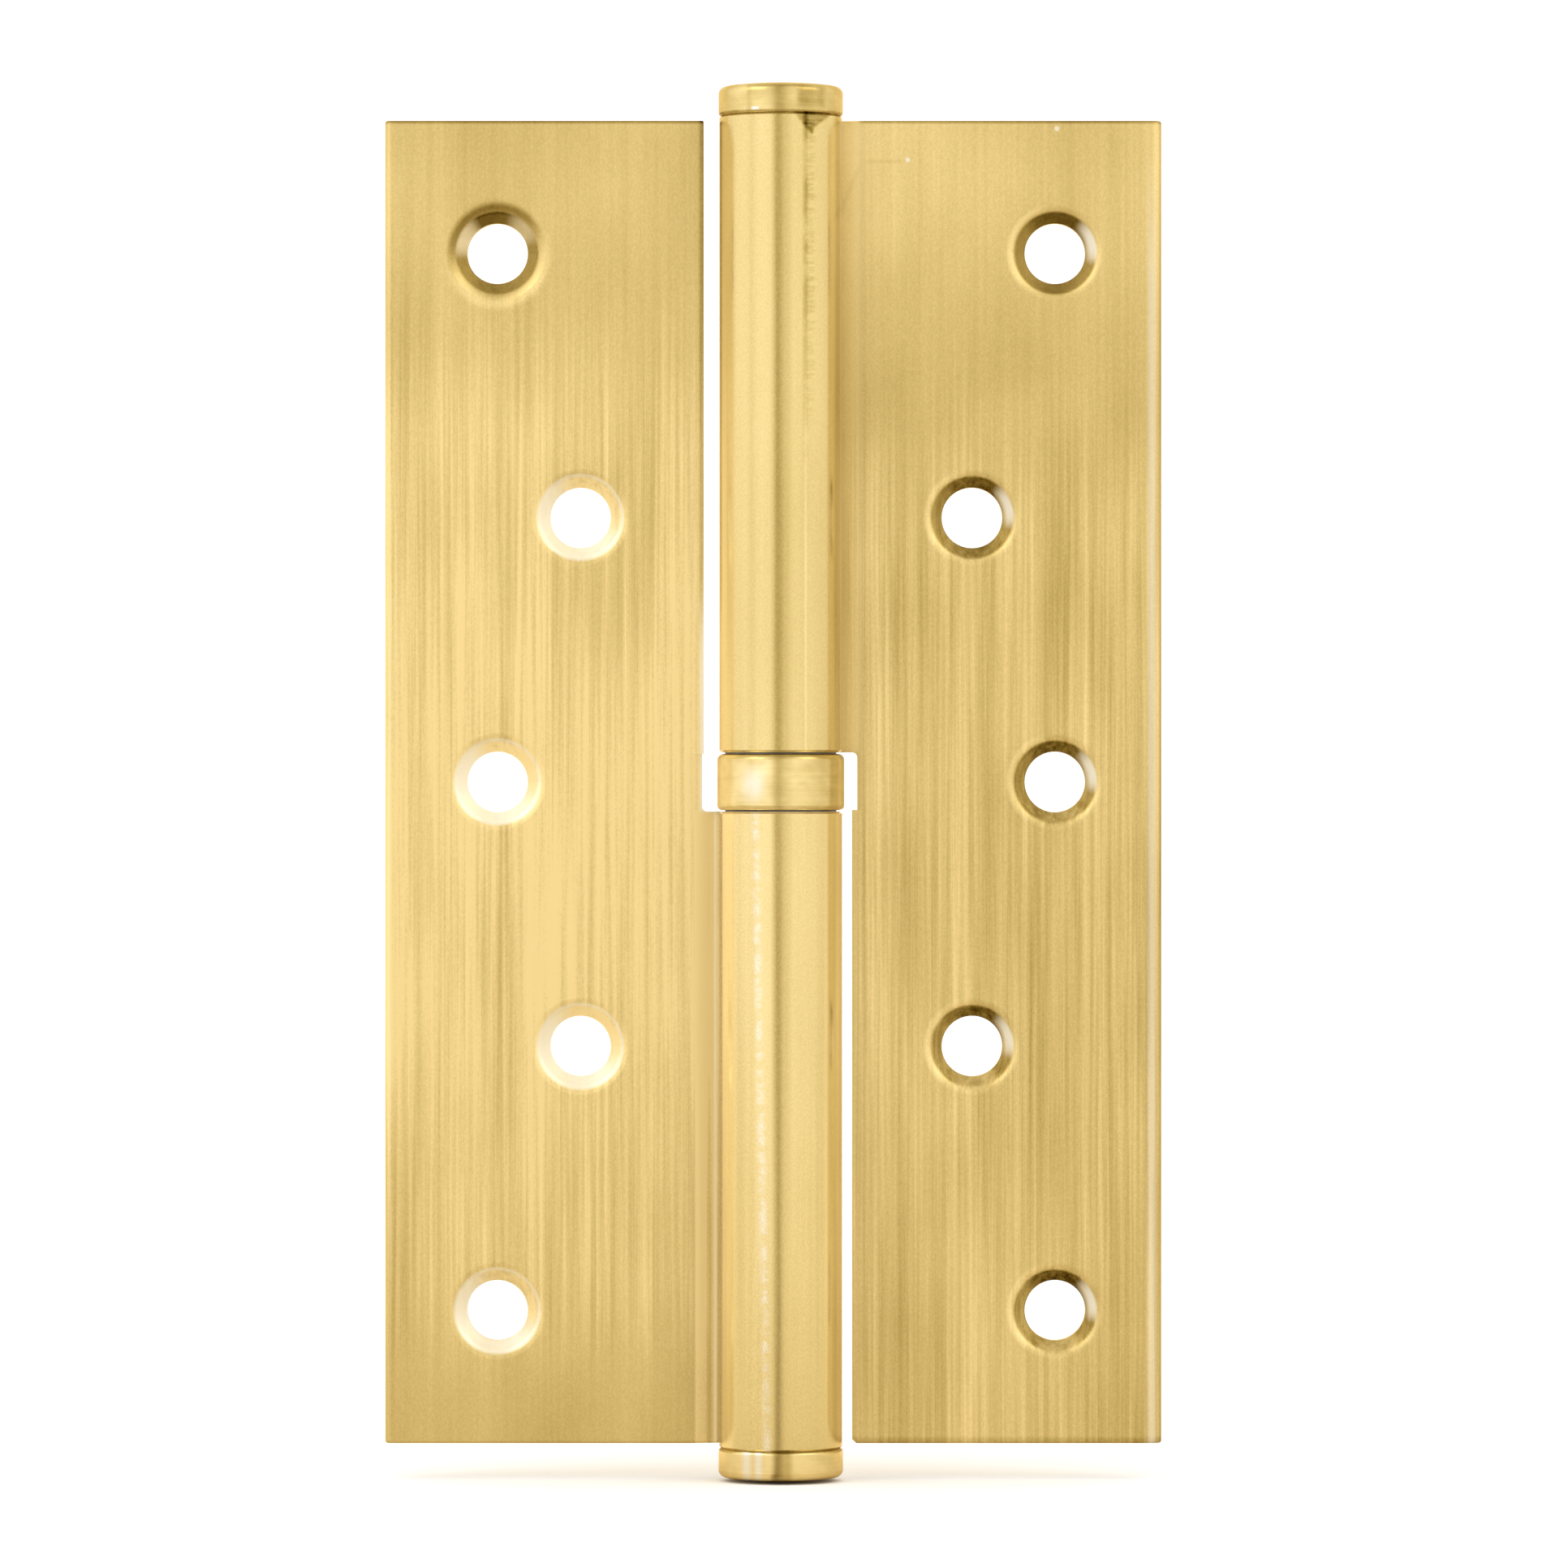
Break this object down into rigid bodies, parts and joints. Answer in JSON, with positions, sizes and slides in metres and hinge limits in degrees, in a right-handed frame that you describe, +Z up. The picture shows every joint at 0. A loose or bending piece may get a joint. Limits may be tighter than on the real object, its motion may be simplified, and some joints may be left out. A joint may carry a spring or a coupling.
{
  "type": "lift-off hinge",
  "caption": "Steel lift-off butt hinge in satin gold, laid open flat: sheet leaves with countersunk screw holes, rolled knuckles on a pin, a thrust bearing ring between them and button caps",
  "frame": {"origin": "on the pin axis, level with the middle screw holes, which is the middle of the hinge's box", "axes": "+X runs from the pin towards the door leaf, +Y runs from the front into the wood, +Z runs up the pin"},
  "size_m": [0.0734, 0.012, 0.1318],
  "materials": {
    "leaf_gold": "satin brushed pale gold plating on sheet steel",
    "cap_gold": "turned steel, polished and plated pale gold",
    "shell_gold": "pressed steel ring, plated pale gold",
    "pin_steel": "ground bare steel, lightly greased",
    "race_steel": "hardened turned steel",
    "ball_steel": "polished hardened steel"
  },
  "bodies": {
    "frame": {"frame_leaf": "leaf_gold", "hinge_pin": "pin_steel", "bottom_cap": "cap_gold", "lower_race": "race_steel", "bearing_shell": "shell_gold"},
    "bearing_top": {"upper_race": "race_steel"},
    "door": {"door_leaf": "leaf_gold", "top_cap": "cap_gold"},
    "ball_row": {"ball_01": "ball_steel", "ball_02": "ball_steel", "ball_03": "ball_steel", "ball_04": "ball_steel", "ball_05": "ball_steel", "ball_06": "ball_steel", "ball_07": "ball_steel", "ball_08": "ball_steel", "ball_09": "ball_steel", "ball_10": "ball_steel", "ball_11": "ball_steel", "ball_12": "ball_steel", "ball_13": "ball_steel", "ball_14": "ball_steel", "ball_15": "ball_steel", "ball_16": "ball_steel", "ball_17": "ball_steel"}
  },
  "joints": [
    {"name": "door_swing", "type": "hinge", "parent": "frame", "child": "bearing_top", "pos_m": [0, 0, 0], "axis": [0, 0, 1], "range_deg": [-184, 113]},
    {"name": "lift_off", "type": "slide", "parent": "bearing_top", "child": "door", "axis": [0, 0, 1], "range_m": [0, 0.045]},
    {"name": "ball_orbit", "type": "hinge", "parent": "frame", "child": "ball_row", "pos_m": [0, 0, 0], "axis": [0, 0, 1], "range_deg": [-92, 56.5]}
  ],
  "couplings": [
    {"joint": "ball_orbit", "follows": "door_swing", "ratio": 0.5}
  ]
}
